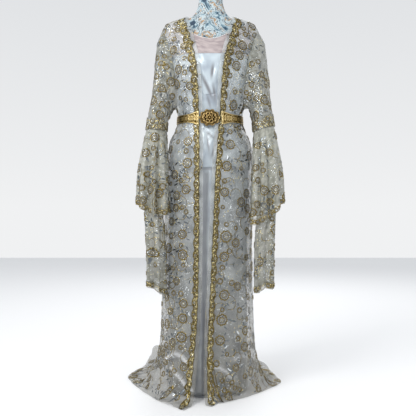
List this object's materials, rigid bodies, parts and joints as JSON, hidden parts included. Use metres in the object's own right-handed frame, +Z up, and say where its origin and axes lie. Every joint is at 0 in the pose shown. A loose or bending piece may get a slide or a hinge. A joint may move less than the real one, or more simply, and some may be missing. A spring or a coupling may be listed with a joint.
{
  "type": "kaftan on dress form",
  "caption": "Two-layer occasion kaftan of pale satin under an open embroidered net robe with flounced sleeves and a gilt belt, worn by a limbless dress form on its stand",
  "frame": {"origin": "on the floor at the middle of the form's foot, under the middle of the waist", "axes": "+Z up, the front of the garment faces -Y, +X is the viewer's right"},
  "size_m": [0.627, 1.0009, 1.541],
  "materials": {
    "satin": "glossy blue-white satin",
    "sheer_yoke": "sheer pale pink lining cloth",
    "net": "sheer grey-white net with gold and silver embroidery",
    "gold_lace": "scalloped metallic gold lace",
    "gilt_metal": "gilt filigree",
    "antique_metal": "dark antique gold with worn high points",
    "form_cover": "smooth printed jersey",
    "stand_metal": "satin grey paint"
  },
  "bodies": {
    "root": {"form_torso": "form_cover", "form_pole": "stand_metal", "form_base": "stand_metal", "slip_tunic_front": "satin", "slip_tunic_back": "satin", "slip_yoke_front": "sheer_yoke", "slip_yoke_back": "sheer_yoke", "slip_skirt_front": "satin", "slip_skirt_back": "satin", "robe_front_left": "net", "robe_front_right": "net", "robe_back": "net", "sleeve_left": "net", "sleeve_right": "net", "cuff_band_left": "gold_lace", "cuff_band_right": "gold_lace", "flounce_upper_left": "net", "flounce_upper_right": "net", "flounce_lower_left": "net", "flounce_lower_right": "net", "border_left": "gold_lace", "border_right": "gold_lace", "border_neck": "gold_lace", "belt_band": "gilt_metal", "belt_wing_left": "gilt_metal", "belt_wing_right": "gilt_metal", "belt_buckle": "antique_metal"}
  },
  "joints": []
}
